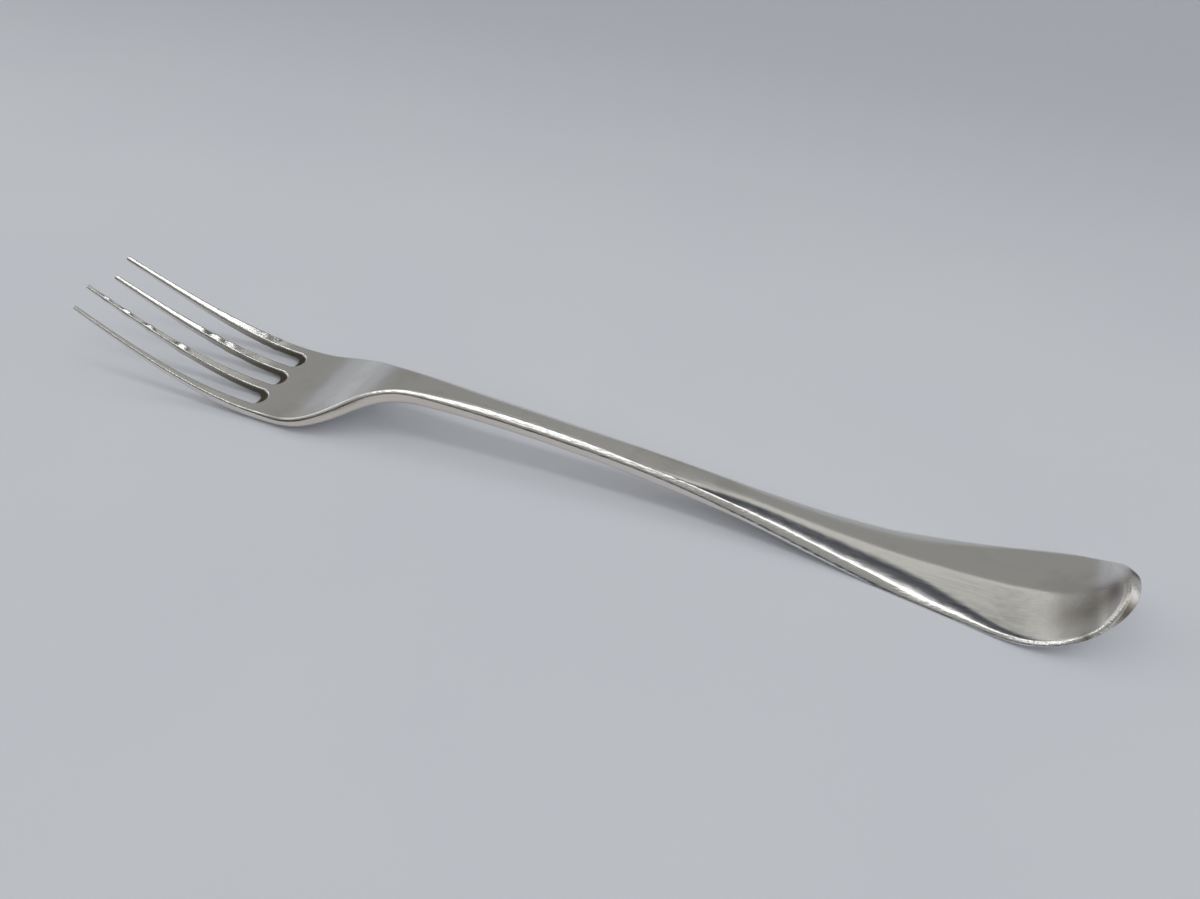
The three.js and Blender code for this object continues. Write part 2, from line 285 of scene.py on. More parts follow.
@dataclass(frozen=True)
class WornSilver:
    """Sterling silver, forged, filed and hand polished, then worn by use and washing.

    Silver has the brightest, slightly warm reflection of the metals. Wear leaves a soft satin of fine
    scratches with duller rubbed edges, and a thin brown tarnish where fingers and polish miss. Darker
    coats also paint shade: deep in the slots, on the end's wall and in the turned-up end.
    """

    name: str = "sterling silver, hand polished, worn"
    colour: str = "EAE9E6"
    tarnish: str = "B4ABA2"
    tan: str = "E6D4C0"
    # Darker coats: partly real stain and grime, partly painted shade.
    stain_and_shade: str = "6E625B"
    grime_and_shade: str = "6A6353"
    roughness: float = 0.17
    edge_roughness: float = 0.18
    stain_and_shade_roughness: float = 0.18
    grime_and_shade_roughness: float = 0.3
    # Real scratches are a few hundredths of a millimetre apart: these are drawn coarser to show.
    scratches: Speckle = Speckle(0.25, 2.0, 0.7)
    scratch_length: float = 9.0
    scratch_depth: float = 0.004
    # Lean of the scratches to the fork's length, in degrees.
    scratch_lean: float = 6.0
    # From the first of these levels of their pattern to the second, the roughness takes these shares.
    scratch_range: tuple[float, float] = (0.3, 0.75)
    satin_range: tuple[float, float] = (0.8, 1.35)
    grain: Speckle = Speckle(0.6, 2.0, 0.6)
    grain_depth: float = 0.17
    # Share of the worn edges' nicks that run along the fork.
    streaks: float = 0.5
    dents: Speckle = Speckle(2.2, 1.0, 0.5)
    dent_depth: float = 0.02
    # Tarnished patches set in between these levels of their pattern, up to this share.
    patches: Speckle = Speckle(11.0, 3.0, 0.6)
    patch_range: tuple[float, float] = (0.52, 0.78)
    patch_share: float = 0.3

    def material(self) -> bpy.types.Material:
        """Builds the material.

        Returns:
            The material, with its pattern in the fork's own millimetres.
        """
        made = bpy.data.materials.new(self.name)
        made.use_nodes = True
        tree = made.node_tree
        tree.nodes.clear()
        place = add_node(tree, "ShaderNodeTexCoord").outputs["Object"]
        edge, mark, dirt_and_shade, wall = (
            add_node(tree, "ShaderNodeAttribute", {"attribute_name": layer.value}).outputs["Fac"]
            for layer in (Layer.WORN, Layer.STAINED_AND_SHADED, Layer.GRIMY_AND_SHADED, Layer.TANNED))
        patch, grain, dent = (
            add_node(tree, "ShaderNodeTexNoise", inputs=pattern.inputs(place)).outputs["Fac"]
            for pattern in (self.patches, self.grain, self.dents))
        spacing = per_metre(self.scratches.size)
        stretched = add_node(tree, "ShaderNodeMapping", {"vector_type": "POINT"}, {
            "Vector": place,
            "Rotation": (0.0, 0.0, math.radians(self.scratch_lean)),
            "Scale": (per_metre(self.scratch_length), spacing, spacing),
        }).outputs["Vector"]
        # The stretched place already holds the scratches' scale.
        scratch = add_node(tree, "ShaderNodeTexNoise", inputs={
            **self.scratches.inputs(stretched), "Scale": 1.0,
        }).outputs["Fac"]
        dulled = add_node(tree, "ShaderNodeMapRange", {"clamp": True}, {
            "Value": patch, "From Min": self.patch_range[0], "From Max": self.patch_range[1],
            "To Min": 0.0, "To Max": self.patch_share,
        }).outputs["Result"]
        tint = srgb(self.colour)
        # The stain and grime coats are partly painted shade: in the turned-up end, deep in the slots and on
        # the end's wall.
        coats = ((dulled, self.tarnish), (wall, self.tan), (mark, self.stain_and_shade), (dirt_and_shade, self.grime_and_shade))
        for share, code in coats:
            tint = add_node(tree, "ShaderNodeMix", {"data_type": "RGBA"}, {
                MIX_SHARE: share, COLOUR_A: tint, COLOUR_B: srgb(code),
            }).outputs[COLOUR_OUT]
        satin = add_node(tree, "ShaderNodeMapRange", {"clamp": True}, {
            "Value": scratch, "From Min": self.scratch_range[0], "From Max": self.scratch_range[1],
            "To Min": self.roughness * self.satin_range[0], "To Max": self.roughness * self.satin_range[1],
        }).outputs["Result"]
        dulling = ((edge, self.edge_roughness), (mark, self.stain_and_shade_roughness), (dirt_and_shade, self.grime_and_shade_roughness))
        for layer, added in dulling:
            satin = add_node(tree, "ShaderNodeMath", {"operation": "MULTIPLY_ADD"}, {
                0: layer, 1: added, 2: satin,
            }).outputs["Value"]
        dented = add_node(tree, "ShaderNodeBump", inputs={
            "Height": dent, "Distance": self.dent_depth * METRES, "Strength": 1.0,
        }).outputs["Normal"]
        scratched = add_node(tree, "ShaderNodeBump", inputs={
            "Height": scratch, "Distance": self.scratch_depth * METRES, "Strength": 1.0, "Normal": dented,
        }).outputs["Normal"]
        nicks = add_node(tree, "ShaderNodeMix", {"data_type": "FLOAT"}, {
            MIX_SHARE: self.streaks, NUMBER_A: grain, NUMBER_B: scratch,
        }).outputs[NUMBER_OUT]
        grained = add_node(tree, "ShaderNodeBump", inputs={
            "Height": nicks, "Distance": self.grain_depth * METRES, "Strength": edge, "Normal": scratched,
        }).outputs["Normal"]
        shader = add_node(tree, "ShaderNodeBsdfPrincipled", inputs={
            "Base Color": tint, "Metallic": 1.0, "Roughness": satin, "Normal": grained,
        })
        add_node(tree, "ShaderNodeOutputMaterial", inputs={"Surface": shader.outputs["BSDF"]})
        return made


@dataclass(frozen=True)
class PaleCard:
    """Coated paper card, rolled smooth: matt, with a faint cool mottle, and painted shade that greys it
    towards the back.
    """

    name: str = "pale coated card, matt"
    colour: str = "E4E7ED"
    shade: str = "DDE1E9"
    # Painted shade: the card greys to this colour towards the back, as the room's light falls off there.
    far: str = "C6CAD2"
    far_shade_start: float = 40.0
    far_shade_stop: float = 260.0
    roughness: float = 0.65
    gloss: float = 0.2
    mottle: Speckle = Speckle(60.0, 4.0, 0.5)

    def material(self) -> bpy.types.Material:
        """Builds the material of the table top.

        Returns:
            The material, with its mottle in the table's own millimetres.
        """
        made = bpy.data.materials.new(self.name)
        made.use_nodes = True
        tree = made.node_tree
        tree.nodes.clear()
        place = add_node(tree, "ShaderNodeTexCoord").outputs["Object"]
        cloud = add_node(tree, "ShaderNodeTexNoise", inputs=self.mottle.inputs(place)).outputs["Fac"]
        # Painted shade: the card is greyer towards the back of the table.
        depth = add_node(tree, "ShaderNodeSeparateXYZ", inputs={"Vector": place}).outputs["Y"]
        away = add_node(tree, "ShaderNodeMapRange", {"interpolation_type": "SMOOTHSTEP"}, {
            "Value": depth, "From Min": self.far_shade_start * METRES, "From Max": self.far_shade_stop * METRES,
        }).outputs["Result"]
        tint = srgb(self.colour)
        for share, code in ((cloud, self.shade), (away, self.far)):
            tint = add_node(tree, "ShaderNodeMix", {"data_type": "RGBA"}, {
                MIX_SHARE: share, COLOUR_A: tint, COLOUR_B: srgb(code),
            }).outputs[COLOUR_OUT]
        shader = add_node(tree, "ShaderNodeBsdfPrincipled", inputs={
            "Base Color": tint, "Roughness": self.roughness, "Specular IOR Level": self.gloss,
        })
        add_node(tree, "ShaderNodeOutputMaterial", inputs={"Surface": shader.outputs["BSDF"]})
        return made


@dataclass(frozen=True)
class ZonePart:
    """A zone of the forging: it takes its share of the skin, and is dressed as silver."""

    def zones(self) -> tuple[Zone, ...]:
        """Zones that this part makes, one piece each."""
        raise NotImplementedError

    def build(self, skin: "Skin") -> list[bpy.types.Object]:
        """Makes one closed piece for each zone."""
        return [skin.cut_out(zone) for zone in self.zones()]

    def dress(self, pieces: list[bpy.types.Object], silver: bpy.types.Material) -> None:
        """Gives each piece its finish and its place in the frame.

        Args:
            pieces: what build made, in the order of zones.
            silver: finish of the whole fork.
        """
        for zone, piece in zip(self.zones(), pieces, strict=True):
            piece.data.materials.append(silver)
            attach(piece, BODY)
            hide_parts(zone.value)
            LOG.info("%s: %d faces", piece.name, len(piece.data.polygons))


@dataclass(frozen=True)
class Tines(ZonePart):
    """Four slim tines, tapered to worn tips, with slots between them that end in a scoop."""

    length: float = 40.25
    root_pitch: float = 6.6
    tip_pitch: float = 6.0
    slot_width: float = 4.25
    slot_scoop: float = 1.25
    tip_width: float = 0.9
    tip_thickness: float = 0.75
    # A tine widens as its way from tip to root to this power: it stays slim near its tip.
    swell: float = 1.3
    root_thickness: float = 2.2
    tip_rise: float = 16.72
    tip_slope: float = -0.5
    tip_round: float = 0.3
    edge_round: float = 0.4
    back_round: float = 0.8
    # Grime and painted shade darken the slots from this station on, and stop this far behind the tines'
    # roots.
    grime_and_shade_from: float = 12.0
    grime_and_shade_past: float = 5.5
    # Use has worn each tine shorter by its own length, and turned its top by its own degrees to the
    # near side. The turn fades out over the last stretch before the root.
    worn_off: tuple[float, ...] = (1.9, 0.1, 1.75, 0.0)
    turned: tuple[float, ...] = (-6.5, 0.5, 21.2, 21.6)
    turn_fade: float = 14.0
    # Station where the tops are rubbed most.
    rubbed_at: float = 30.1875
    nicks: tuple[Nick, ...] = (
        Nick(1, 4.4, 0.8, 22.0),
        Nick(1, 8.9, 0.9, 24.0),
        Nick(1, 14.2, 0.8, 22.0),
        Nick(1, 21.5, 1.3, 21.0),
        Nick(2, 22.7, 0.9, -12.0),
        Nick(2, 26.3, 0.8, -12.0),
        Nick(2, 31.0, 1.8, -10.0),
        Nick(3, 31.8, 0.6, 6.5),
        Nick(3, 34.7, 0.8, 12.0),
    )

    def zones(self) -> tuple[Zone, ...]:
        """The four tines, near side first."""
        return TINE_ZONES

    def lanes(self) -> np.ndarray:
        """Places of the tines, counted in pitches from the middle line."""
        return np.arange(len(TINE_ZONES)) - (len(TINE_ZONES) - 1) / 2

    def root_width(self) -> float:
        """Width of a tine where it leaves the head."""
        return self.root_pitch - self.slot_width

    def pitch(self, station: np.ndarray | float) -> np.ndarray:
        """Distance between neighbouring tines at each station."""
        left = np.clip(1 - station / self.length, 0, 1)
        return self.root_pitch - (self.root_pitch - self.tip_pitch) * left**2

    def half_width(self, station: float, tine: int) -> float:
        """Finds half the width of one tine, its rounded tip left out.

        Args:
            station: distance from the tine tips.
            tine: the tine's number, from the near side.

        Returns:
            The half width.
        """
        tip = self.worn_off[tine]
        way = min(max((station - tip) / (self.length - tip), 0), 1)
        return (self.tip_width + (self.root_width() - self.tip_width) * way**self.swell) / 2

    def nearest(self, station: np.ndarray, across: np.ndarray) -> np.ndarray:
        """Number of the tine that each point belongs to."""
        lane = across / self.pitch(station)
        return np.argmin(np.abs(self.lanes() - lane[..., None]), axis=-1)

    def grime_and_shade_share(self, station: np.ndarray, across: np.ndarray) -> np.ndarray:
        """How much grime and painted shade darken the slots at each point.

        Args:
            station: stations of the points.
            across: their distances from the middle line.

        Returns:
            Shares: none outside the slots, most round their ends.
        """
        # Painted shade and grime: darker deeper in the slots, darkest round their ends.
        deep = np.clip((station - self.grime_and_shade_from) / (self.length - self.grime_and_shade_from), 0, 1)
        left = np.clip((self.length + self.grime_and_shade_past - station) / self.slot_scoop, 0, 1)
        inside = np.abs(across) < self.lanes()[-1] * self.pitch(station)
        return np.where(inside, ease(deep) * left, 0)

    def turn(self, station: np.ndarray, across: np.ndarray) -> np.ndarray:
        """How far each point of a tine is raised by the tine's turn.

        Args:
            station: stations of the points.
            across: their distances from the middle line.

        Returns:
            Heights to add, fading out towards the head.
        """
        tine = self.nearest(station, across)
        middle = self.lanes()[tine] * self.pitch(station)
        left = np.clip((self.length - station) / self.turn_fade, 0, 1)
        angle = np.array(self.turned)[tine] * ease(left)
        for nick in self.nicks:
            near = np.exp(-(((station - nick.station) / nick.reach) ** 2))
            angle = angle + np.where(tine == nick.tine, nick.turned * near, 0)
        return np.tan(np.radians(angle)) * (across - middle)


@dataclass(frozen=True)
class Head(ZonePart):
    """The solid plate behind the slots, resting on the table at its heel."""

    length: float = 13.75
    width: float = 22.8
    heel_thickness: float = 2.4
    heel_flat: float = 3.0
    shoulder_lead: float = 4.0
    edge_round: float = 0.6
    bevel_high: float = 40.0
    bevel_low: float = 50.0
    back_width: float = 2.2
    back_rise: float = 1.1

    def zones(self) -> tuple[Zone, ...]:
        """One piece."""
        return (Zone.HEAD,)


@dataclass(frozen=True)
class Neck(ZonePart):
    """The drawn-in curve that climbs from the head to the crest of the stem."""

    length: float = 22.0
    # A taper is the half width's steepness along the fork, and a slope is the front line's.
    shoulder_width: float = 14.0
    shoulder_run: float = 9.0
    shoulder_taper: float = -0.54
    width: float = 6.8
    crest_taper: float = -0.05
    steepest_run: float = 7.5
    steepest_rise: float = 7.6
    steepest_slope: float = 0.55
    crest_rise: float = 11.4

    def zones(self) -> tuple[Zone, ...]:
        """One piece."""
        return (Zone.NECK,)


@dataclass(frozen=True)
class Stem(ZonePart):
    """The slim middle with its flat top, bevelled front edges and rounded back."""

    length: float = 64.0
    width: float = 5.5
    thickness: float = 3.4
    waist_run: float = 30.0
    # The bevel is narrower at the crest, and again from where the handle's shoulders start.
    crest_bevel: float = 0.96
    bevel_run: float = 15.0
    bevel_width: float = 1.6
    late_bevel: float = 1.12
    # The handle's shoulders and facets start this far past the waist.
    shoulder_run: float = 15.0
    facet_run: float = 20.0
    # The bevel's slopes below its upper corner and above its lower one, in degrees.
    bevel_high: float = 22.5
    bevel_low: float = 30.0
    back_width: float = 1.8
    back_rise: float = 1.5

    def zones(self) -> tuple[Zone, ...]:
        """One piece."""
        return (Zone.STEM,)


@dataclass(frozen=True)
class Handle(ZonePart):
    """The flare: two soft facets and broad round shoulders, turned up at its rounded end."""

    length: float = 63.6
    start_rise: float = 5.8
    fall_slope: float = -0.14
    flare_run: float = 18.0
    flare_width: float = 11.6
    flare_taper: float = 0.14
    flare_rise: float = 2.7
    flare_thickness: float = 2.2
    rest_to_end: float = 21.6
    rest_flat: float = 4.0
    rest_width: float = 19.35
    rest_taper: float = 0.18
    rest_thickness: float = 1.1
    widest_to_end: float = 13.0
    end_width: float = 21.9
    widest_thickness: float = 1.3
    end_fullness: float = 2.4
    upturn_to_end: float = 7.0
    upturn_rise: float = 3.8
    upturn_slope: float = 0.5
    end_rise: float = 10.1
    end_slope: float = 2.0
    end_thickness: float = 1.0
    keel_half: float = 7.5
    keels: Values = (("rest_stop", 0.0), ("upturn", 0.4), ("end", 0.8))
    # The front's section: the ridge's height and rounding, the slope of the facets beside it, and the
    # slope and width of the shoulders outside these.
    crowns: Values = (("waist", 0.0), ("handle", 0.21), ("flare", 0.735), ("rest_stop", 1.05), ("end", 1.15))
    ridge_round: float = 0.8
    end_ridge_round: float = 0.3
    # The facets, and then the shoulders, have set in this far past the handle's start.
    facet_run: float = 5.0
    facet_slopes: Values = (("facet_start", 0.0), ("facet_full", 0.099), ("flare", 0.11), ("end", 0.1375))
    shoulder_run: float = 4.0
    shoulder_slopes: Values = (
        ("shoulder_start", 0.0),
        ("shoulder_full", 0.4),
        ("rest_stop", 0.4),
        ("widest", 0.2),
        ("end", 0.12),
    )
    # The shoulders are broadest this far past the flare, for this length, and narrow before the rest stops.
    broad_run: float = 8.0
    broad_length: float = 6.0
    narrowing_lead: float = 2.0
    shoulder_widths: Values = (
        ("shoulder_start", 0.3),
        ("shoulder_full", 2.31),
        ("flare", 3.388),
        ("broad_start", 3.85),
        ("broad_stop", 3.85),
        ("narrowing", 2.5025),
        ("widest", 0.5775),
        ("end", 0.385),
    )
    edge_round: float = 1.2
    bevel_high: float = 36.0
    bevel_low: float = 46.0
    back_width: float = 3.6
    back_edge: float = 0.4
    # Rubbing has flattened the lip to a narrow bevel: its width, and its slopes in degrees. It sets in
    # past a soft stretch of the edge, is widest at the lip's station and eases out at the upturn.
    lip_round: float = 0.65
    lip_bevel: float = 0.85
    lip_high: float = 21.0
    lip_low: float = 26.0
    lip_soft: float = 4.0
    lip_run: float = 2.0
    lip_ease: float = 1.5
    # Tarnish where the polishing cloth misses, partly painted shade where the turned-up end mirrors the dark
    # room:
    # inside the turned-up end, and a spot at its near lip.
    tarnish_and_shade_marks: tuple[Mark, ...] = (
        Mark(202.2, -1.8, 2.6, 3.0, 0.6),
        Mark(203.6, -0.6, 1.0, 2.4, 0.4),
        Mark(199.2, -4.7, 3.0, 2.4, 0.35),
        Mark(197.5, -5.0, 6.0, 4.0, 0.15),
        Mark(199.8, -9.1, 0.8, 0.7, 0.8),
    )
    # Painted shade on the end's own thin wall: dark marks where its rounded edge mirrors the dark room.
    wall_shade_marks: tuple[Mark, ...] = (
        Mark(204.8, -5.2, 3.0, 2.0, 1.0),
        Mark(204.8, 2.4, 3.0, 1.4, 1.0),
    )

    def zones(self) -> tuple[Zone, ...]:
        """One piece."""
        return (Zone.HANDLE,)


@dataclass(frozen=True)
class Wear:
    """What use has left along the fork, as shares at its stations.

    Faces and edges are rubbed, side walls are tanned, and an edge is crisp at 1 and plainly round at 0.
    """

    face: Values = (
        ("tip", 0.24),
        ("half_tine", 0.2),
        ("rubbed", 0.35),
        ("root", 0.08),
        ("heel_stop", 0.0),
    )
    edge: Values = (
        ("tip", 0.15),
        ("root", 0.15),
        ("crest", 0.2),
        ("waist", 0.3),
        ("handle", 0.35),
        ("flare", 0.4),
        ("rest_stop", 0.3),
        ("lip", 0.5),
        ("upturn", 0.4),
        ("end", 0.3),
    )
    tan: Values = (
        ("tip", 0.1),
        ("root", 0.25),
        ("neck", 0.5),
        ("waist", 0.4),
        ("handle", 0.2),
        ("flare", 0.0),
    )
    crisp: Values = (
        ("root", 0.0),
        ("neck", 0.8),
        ("crest", 1.0),
        ("rest_start", 1.0),
        ("lip_softest", 0.5),
        ("widest", 1.0),
        ("lip_crisp", 1.0),
        ("lip_plain", 0.0),
    )


@dataclass(frozen=True)
class ForkForm:
    """The curves that all zones share, and the way from the flat plan to the bent fork."""

    tines: Tines
    head: Head
    neck: Neck
    stem: Stem
    handle: Handle
    wear: Wear = Wear()
    # The CAD frame has its origin under the middle of the fork's length.
    middle: float = 103.025
    # The front face keeps this half width at least, and a shoulder takes this share of it at most.
    least_half: float = 0.05
    most_shoulder: float = 0.75
    at: dict[str, float] = field(init=False)
    curves: dict[str, Curve] = field(init=False)

    def __post_init__(self) -> None:
        """Works out the stations and the curves."""
        object.__setattr__(self, "at", self._stations())
        object.__setattr__(self, "curves", self._curves())

    def _stations(self) -> dict[str, float]:
        """Finds the stations where the form changes.

        Returns:
            Distances from the tine tips, by name.
        """
        tines, head, neck, stem, handle = self.tines, self.head, self.neck, self.stem, self.handle
        at = {"tip": 0.0, "half_tine": tines.length / 2, "rubbed": tines.rubbed_at, "root": tines.length}
        at["slot_stop"] = at["root"] + tines.slot_scoop
        at["heel_start"] = at["slot_stop"] + tines.slot_width / 2 + tines.edge_round
        at["heel_stop"] = at["heel_start"] + head.heel_flat
        at["neck"] = at["slot_stop"] + head.length
        at["head_widest"] = at["neck"] - head.shoulder_lead
        at["steepest"] = at["neck"] + neck.steepest_run
        at["shoulder"] = at["neck"] + neck.shoulder_run
        at["crest"] = at["neck"] + neck.length
        at["bevel_full"] = at["crest"] + stem.bevel_run
        at["waist"] = at["crest"] + stem.waist_run
        at["shoulder_start"] = at["waist"] + stem.shoulder_run
        at["facet_start"] = at["waist"] + stem.facet_run
        at["handle"] = at["crest"] + stem.length
        at["shoulder_full"] = at["handle"] + handle.shoulder_run
        at["facet_full"] = at["handle"] + handle.facet_run
        at["flare"] = at["handle"] + handle.flare_run
        at["broad_start"] = at["flare"] + handle.broad_run
        at["broad_stop"] = at["broad_start"] + handle.broad_length
        at["end"] = at["handle"] + handle.length
        at["rest_stop"] = at["end"] - handle.rest_to_end
        at["rest_start"] = at["rest_stop"] - handle.rest_flat
        at["narrowing"] = at["rest_stop"] - handle.narrowing_lead
        at["lip_softest"] = at["rest_stop"] + handle.lip_soft
        at["widest"] = at["end"] - handle.widest_to_end
        at["lip"] = at["widest"] + handle.lip_run
        at["upturn"] = at["end"] - handle.upturn_to_end
        at["lip_crisp"] = at["upturn"] - handle.lip_ease
        at["lip_plain"] = at["upturn"] + handle.lip_ease
        return at

    def _through(
        self,
        values: Values,
        softness: Softness = Softness.PLAIN,
        first_slope: float | None = None,
    ) -> Curve:
        """Makes a curve through values at named stations.

        Args:
            values: stations in order, each with the value there.
            softness: spread of the curve's softening.
            first_slope: steepness at the first station, where that is set.

        Returns:
            The curve.
        """
        knots = [Knot(self.at[name], value) for name, value in values]
        knots[0] = replace(knots[0], slope=first_slope)
        return Curve(knots, softness)

    def _curves(self) -> dict[str, Curve]:
        """All the curves along the fork, by name."""
        return self._outlines() | self._sections() | self._edges() | self._use()

    def _outlines(self) -> dict[str, Curve]:
        """Makes the side view, the plan and the thickness.

        Returns:
            The curves, by name.
        """
        at, tines, head, neck, stem, handle = (
            self.at, self.tines, self.head, self.neck, self.stem, self.handle)
        root_half = ((len(TINE_ZONES) - 1) * tines.root_pitch + tines.root_width()) / 2
        return {
            "front": Curve([
                Knot(at["tip"], tines.tip_rise, tines.tip_slope),
                Knot(at["heel_start"], head.heel_thickness, 0),
                Knot(at["heel_stop"], head.heel_thickness, 0),
                Knot(at["steepest"], neck.steepest_rise, neck.steepest_slope),
                Knot(at["crest"], neck.crest_rise, 0),
                Knot(at["handle"], handle.start_rise, handle.fall_slope),
                Knot(at["flare"], handle.flare_rise, handle.fall_slope),
                Knot(at["rest_start"], handle.rest_thickness, 0),
                Knot(at["rest_stop"], handle.rest_thickness, 0),
                Knot(at["upturn"], handle.upturn_rise, handle.upturn_slope),
                Knot(at["end"], handle.end_rise, handle.end_slope),
            ]),
            "half_width": Curve([
                Knot(at["root"], root_half, 0),
                Knot(at["head_widest"], head.width / 2, 0),
                Knot(at["shoulder"], neck.shoulder_width / 2, neck.shoulder_taper),
                Knot(at["crest"], neck.width / 2, neck.crest_taper),
                Knot(at["waist"], stem.width / 2, 0),
                Knot(at["flare"], handle.flare_width / 2, handle.flare_taper),
                Knot(at["rest_stop"], handle.rest_width / 2, handle.rest_taper),
                Knot(at["widest"], handle.end_width / 2, 0),
            ]),
            "thickness": self._through((
                ("tip", tines.tip_thickness),
                ("root", tines.root_thickness),
                ("heel_start", head.heel_thickness),
                ("heel_stop", head.heel_thickness),
                ("crest", stem.thickness),
                ("waist", stem.thickness),
                ("flare", handle.flare_thickness),
                ("rest_start", handle.rest_thickness),
                ("rest_stop", handle.rest_thickness),
                ("widest", handle.widest_thickness),
                ("end", handle.end_thickness),
            )),
        }

    def _sections(self) -> dict[str, Curve]:
        """Makes the sizes of the handle's section.

        Returns:
            The curves, by name.
        """
        at, handle = self.at, self.handle
        return {
            "crown": self._through(handle.crowns, Softness.BROADEST, 0),
            "facet": self._through(handle.facet_slopes, Softness.BROADEST, 0),
            "shoulder_slope": self._through(handle.shoulder_slopes, Softness.BROADEST, 0),
            "shoulder_width": self._through(handle.shoulder_widths, Softness.BROAD, 0),
            "ridge_round": Curve([
                Knot(at["rest_stop"], handle.ridge_round, 0),
                Knot(at["end"], handle.end_ridge_round, 0),
            ]),
            "keel": self._through(handle.keels, Softness.BROAD),
        }

    def _edges(self) -> dict[str, Curve]:
        """Makes the widths of the front edge and the back's rounding, and the front edge's slopes.

        Returns:
            The curves, by name.
        """
        tines, head, stem, handle = self.tines, self.head, self.stem, self.handle
        return {
            "front_round": self._through((
                ("tip", tines.tip_round),
                ("half_tine", tines.edge_round),
                ("root", tines.edge_round),
                ("heel_stop", head.edge_round),
                ("neck", head.edge_round),
                ("crest", stem.crest_bevel),
                ("bevel_full", stem.bevel_width),
                ("waist", stem.bevel_width),
                ("shoulder_start", stem.late_bevel),
                ("handle", stem.late_bevel),
                ("flare", handle.edge_round),
                ("broad_start", handle.edge_round),
                ("rest_stop", handle.lip_round),
                ("lip", handle.lip_bevel),
                ("upturn", handle.lip_round),
                ("end", handle.lip_round),
            ), Softness.BROADEST),
            "back_round": self._through((
                ("tip", tines.tip_round),
                ("root", tines.back_round),
                ("heel_start", head.back_width),
                ("crest", stem.back_width),
                ("waist", stem.back_width),
                ("flare", handle.back_width),
                ("rest_stop", handle.back_width),
                ("widest", handle.back_edge),
                ("end", handle.back_edge),
            ), Softness.BROADEST),
            "back_rise": self._through((
                ("tip", tines.tip_round),
                ("root", tines.back_round),
                ("heel_start", head.back_rise),
                ("crest", stem.back_rise),
                ("waist", stem.back_rise),
                ("rest_start", handle.back_edge),
                ("end", handle.back_edge),
            ), Softness.BROADEST),
            "bevel_high": self._through((
                ("neck", head.bevel_high),
                ("crest", stem.bevel_high),
                ("waist", stem.bevel_high),
                ("flare", handle.bevel_high),
                ("rest_start", handle.bevel_high),
                ("widest", handle.lip_high),
                ("end", handle.lip_high),
            ), Softness.BROADEST),
            "bevel_low": self._through((
                ("neck", head.bevel_low),
                ("crest", stem.bevel_low),
                ("waist", stem.bevel_low),
                ("flare", handle.bevel_low),
                ("rest_start", handle.bevel_low),
                ("widest", handle.lip_low),
                ("end", handle.lip_low),
            ), Softness.BROADEST),
        }

    def _use(self) -> dict[str, Curve]:
        """Makes the shares of wear, tan and crispness.

        Returns:
            The curves, by name.
        """
        return {
            "face_wear": self._through(self.wear.face),
            "edge_wear": self._through(self.wear.edge),
            "side_tan": self._through(self.wear.tan),
            "crispness": self._through(self.wear.crisp, Softness.CRISP),
        }

    def face_half(self, station: np.ndarray) -> np.ndarray:
        """Finds half the width of the front face inside its rounded edges.

        Args:
            station: stations of the points.

        Returns:
            Half widths, narrowing round the handle end.
        """
        at, handle = self.at, self.handle
        straight = self.curves["half_width"].value(np.minimum(station, at["widest"]))
        past = np.clip((station - at["widest"]) / handle.widest_to_end, 0, 1)
        rounded = (1 - past**handle.end_fullness) ** (1 / handle.end_fullness)
        return np.maximum(straight * rounded - self.curves["front_round"].value(station), self.least_half)

    def front_height(self, station: np.ndarray, across: np.ndarray) -> np.ndarray:
        """Section of the front face: a soft ridge, two plain facets and the shoulders beside them.

        Args:
            station: stations of the points.
            across: their distances from the middle line.

        Returns:
            Heights out of the front line.
        """
        curves = self.curves
        half = self.face_half(station)
        away = np.minimum(np.abs(across), half)
        facet = curves["facet"].value(station)
        width = np.minimum(curves["shoulder_width"].value(station), self.most_shoulder * half)
        past = np.clip((away - half + width) / width, 0, 1)
        soft = curves["ridge_round"].value(station)
        ridge = np.where(away < soft, away**2 / (2 * soft), away - soft / 2)
        bend = (curves["shoulder_slope"].value(station) - facet) * width
        return curves["crown"].value(station) - facet * ridge - bend * past**2 / 2

    def back_height(self, station: np.ndarray, across: np.ndarray) -> np.ndarray:
        """Section of the back, with the keel that stiffens the turned-up end.

        Args:
            station: stations of the points.
            across: their distances from the middle line.

        Returns:
            Heights out of the front line, never below the table.
        """
        front, handle = self.curves["front"], self.handle
        clearance = front.value(station) * np.hypot(1, front.slope(station))
        dome = np.maximum(1 - (across / handle.keel_half) ** 2, 0)
        keel = np.maximum(self.curves["keel"].value(station), 0) * dome
        return -np.minimum(self.curves["thickness"].value(station) + keel, clearance)

    def place(self, station: np.ndarray, across: np.ndarray, out: np.ndarray) -> np.ndarray:
        """Bends points of the flat plan onto the fork's side view.

        Args:
            station: distances along the table from the tine tips.
            across: distances from the middle line.
            out: heights over the front line.

        Returns:
            One row of x, y and z for each point, in the CAD frame, in metres.
        """
        front = self.curves["front"]
        angle = np.arctan(front.slope(station))
        x = station - out * np.sin(angle) - self.middle
        z = front.value(station) + out * np.cos(angle)
        return np.stack([x, across, z], axis=1) * METRES

    def zone(self, station: float, across: float) -> Zone:
        """Zone that a point of the plan belongs to.

        Args:
            station: distance from the tine tips.
            across: distance from the middle line.

        Returns:
            The zone.
        """
        if station < self.at["root"]:
            return TINE_ZONES[int(self.tines.nearest(np.array(station), np.array(across)))]
        for zone, stop in ((Zone.HEAD, "neck"), (Zone.NECK, "crest"), (Zone.STEM, "handle")):
            if station < self.at[stop]:
                return zone
        return Zone.HANDLE


